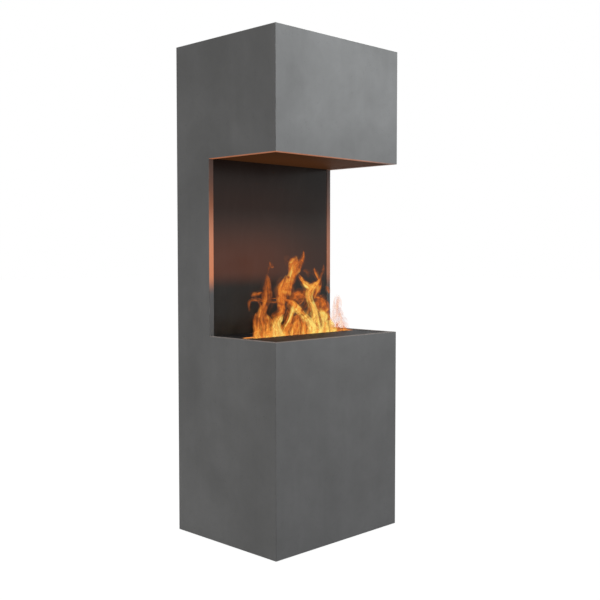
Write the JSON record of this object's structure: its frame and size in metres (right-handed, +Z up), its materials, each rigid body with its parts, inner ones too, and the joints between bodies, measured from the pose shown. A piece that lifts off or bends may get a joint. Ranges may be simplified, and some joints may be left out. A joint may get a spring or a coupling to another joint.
{
  "type": "water vapour fireplace",
  "caption": "Free-standing column fireplace of grey boards with a niche open on three sides, where lit water vapour rises from a long slot in front of a dark glass pane.",
  "frame": {"origin": "middle of the footprint, on the floor under the feet", "axes": "+Z up, +X towards the right side board, -Y towards the front board"},
  "size_m": [0.6, 0.5, 1.7],
  "materials": {
    "concrete_skin": "matte",
    "raw_board": "matte",
    "black_board": "matte",
    "dark_plate": "satin",
    "dark_pane": "gloss",
    "sheet_steel": "satin",
    "black_plastic": "satin",
    "foot_plastic": "matte",
    "pale_plastic": "satin",
    "valve_brass": "satin",
    "lamp_aluminium": "satin",
    "orange_lens": "satin",
    "rubber_hose": "matte",
    "lever_red": "satin",
    "circuit_green": "satin"
  },
  "bodies": {
    "casing": {"side_panel_left": "concrete_skin", "side_panel_right": "concrete_skin", "front_panel_lower": "concrete_skin", "front_panel_upper": "concrete_skin", "top_panel": "concrete_skin", "base_panel": "raw_board", "rear_panel": "black_board", "niche_shelf": "raw_board", "niche_ceiling_board": "raw_board", "spine_front_board": "raw_board", "shelf_bearer_front": "raw_board", "shelf_bearer_rear": "raw_board", "ceiling_bearer_front": "raw_board", "ceiling_bearer_rear": "raw_board", "hearth_plate": "dark_plate", "ceiling_plate": "dark_plate", "back_glass": "dark_pane", "insert_housing": "sheet_steel", "water_trough": "black_plastic", "mist_maker_left": "valve_brass", "mist_maker_middle": "valve_brass", "mist_maker_right": "valve_brass", "mist_nozzle": "sheet_steel", "lamp_bar_front": "lamp_aluminium", "lamp_bar_rear": "lamp_aluminium", "lamp_lens_front": "orange_lens", "lamp_lens_rear": "orange_lens", "fan_frame_left": "black_plastic", "fan_frame_right": "black_plastic", "level_sensor_stem": "sheet_steel", "filler_neck": "dark_plate", "flap_pin": "sheet_steel", "fill_tube": "rubber_hose", "water_tank": "pale_plastic", "feed_pump": "black_plastic", "feed_hose": "rubber_hose", "overflow_hose": "rubber_hose", "drain_valve": "valve_brass", "control_strip": "black_plastic", "button_board": "circuit_green", "control_unit": "black_plastic", "mains_inlet": "black_plastic", "door_hinge_fixed": "sheet_steel"},
    "left_rotor": {"fan_rotor_left": "pale_plastic"},
    "right_rotor": {"fan_rotor_right": "pale_plastic"},
    "float": {"level_float": "pale_plastic"},
    "flap": {"filler_flap": "dark_plate"},
    "power_key": {"power_button": "sheet_steel"},
    "flame_up_key": {"flame_up_button": "sheet_steel"},
    "flame_down_key": {"flame_down_button": "sheet_steel"},
    "rocker": {"mains_rocker": "lever_red"},
    "door": {"service_door": "black_board", "door_hinge_moving": "sheet_steel"},
    "latch": {"door_latch": "sheet_steel"},
    "cap": {"tank_cap": "black_plastic"},
    "lever": {"drain_lever": "lever_red"},
    "foot_front_left": {"levelling_foot_1": "foot_plastic"},
    "foot_front_right": {"levelling_foot_2": "foot_plastic"},
    "foot_rear_left": {"levelling_foot_3": "foot_plastic"},
    "foot_rear_right": {"levelling_foot_4": "foot_plastic"}
  },
  "joints": [
    {"name": "fan_left_spin", "type": "hinge", "parent": "casing", "child": "left_rotor", "pos_m": [-0.15, 0, 0.57835], "axis": [0, 1, 0], "continuous": true},
    {"name": "fan_right_spin", "type": "hinge", "parent": "casing", "child": "right_rotor", "pos_m": [0.15, 0, 0.57835], "axis": [0, 1, 0], "continuous": true},
    {"name": "float_slide", "type": "slide", "parent": "casing", "child": "float", "axis": [0, 0, 1], "range_m": [0, 0.02]},
    {"name": "filler_flap_hinge", "type": "hinge", "parent": "casing", "child": "flap", "pos_m": [0, 0.0582, 0.699], "axis": [-1, 0, 0], "range_deg": [0, 95]},
    {"name": "power_press", "type": "slide", "parent": "casing", "child": "power_key", "axis": [0, 0, -1], "range_m": [0, 0.0015], "stiffness_N_per_m": 800, "springref_m": -0.001},
    {"name": "flame_up_press", "type": "slide", "parent": "casing", "child": "flame_up_key", "axis": [0, 0, -1], "range_m": [0, 0.0015], "stiffness_N_per_m": 800, "springref_m": -0.001},
    {"name": "flame_down_press", "type": "slide", "parent": "casing", "child": "flame_down_key", "axis": [0, 0, -1], "range_m": [0, 0.0015], "stiffness_N_per_m": 800, "springref_m": -0.001},
    {"name": "rocker_tilt", "type": "hinge", "parent": "casing", "child": "rocker", "pos_m": [0.22, 0.2398, 0.114], "axis": [-1, 0, 0], "range_deg": [0, 16]},
    {"name": "door_hinge", "type": "hinge", "parent": "casing", "child": "door", "pos_m": [-0.15, 0.2457, 0.245], "axis": [0, 0, 1], "range_deg": [0, 110]},
    {"name": "latch_turn", "type": "hinge", "parent": "door", "child": "latch", "pos_m": [0.13, 0.2423, 0.245], "axis": [0, 1, 0], "range_deg": [0, 90]},
    {"name": "cap_turn", "type": "hinge", "parent": "casing", "child": "cap", "pos_m": [0.06, 0.115, 0.2626], "axis": [0, 0, 1], "range_deg": [0, 90]},
    {"name": "drain_lever_turn", "type": "hinge", "parent": "casing", "child": "lever", "pos_m": [-0.06, 0.1966, 0.06], "axis": [0, -1, 0], "range_deg": [0, 90]},
    {"name": "foot_front_left_slide", "type": "slide", "parent": "casing", "child": "foot_front_left", "axis": [0, 0, -1], "range_m": [0, 0.012]},
    {"name": "foot_front_right_slide", "type": "slide", "parent": "casing", "child": "foot_front_right", "axis": [0, 0, -1], "range_m": [0, 0.012]},
    {"name": "foot_rear_left_slide", "type": "slide", "parent": "casing", "child": "foot_rear_left", "axis": [0, 0, -1], "range_m": [0, 0.012]},
    {"name": "foot_rear_right_slide", "type": "slide", "parent": "casing", "child": "foot_rear_right", "axis": [0, 0, -1], "range_m": [0, 0.012]}
  ]
}
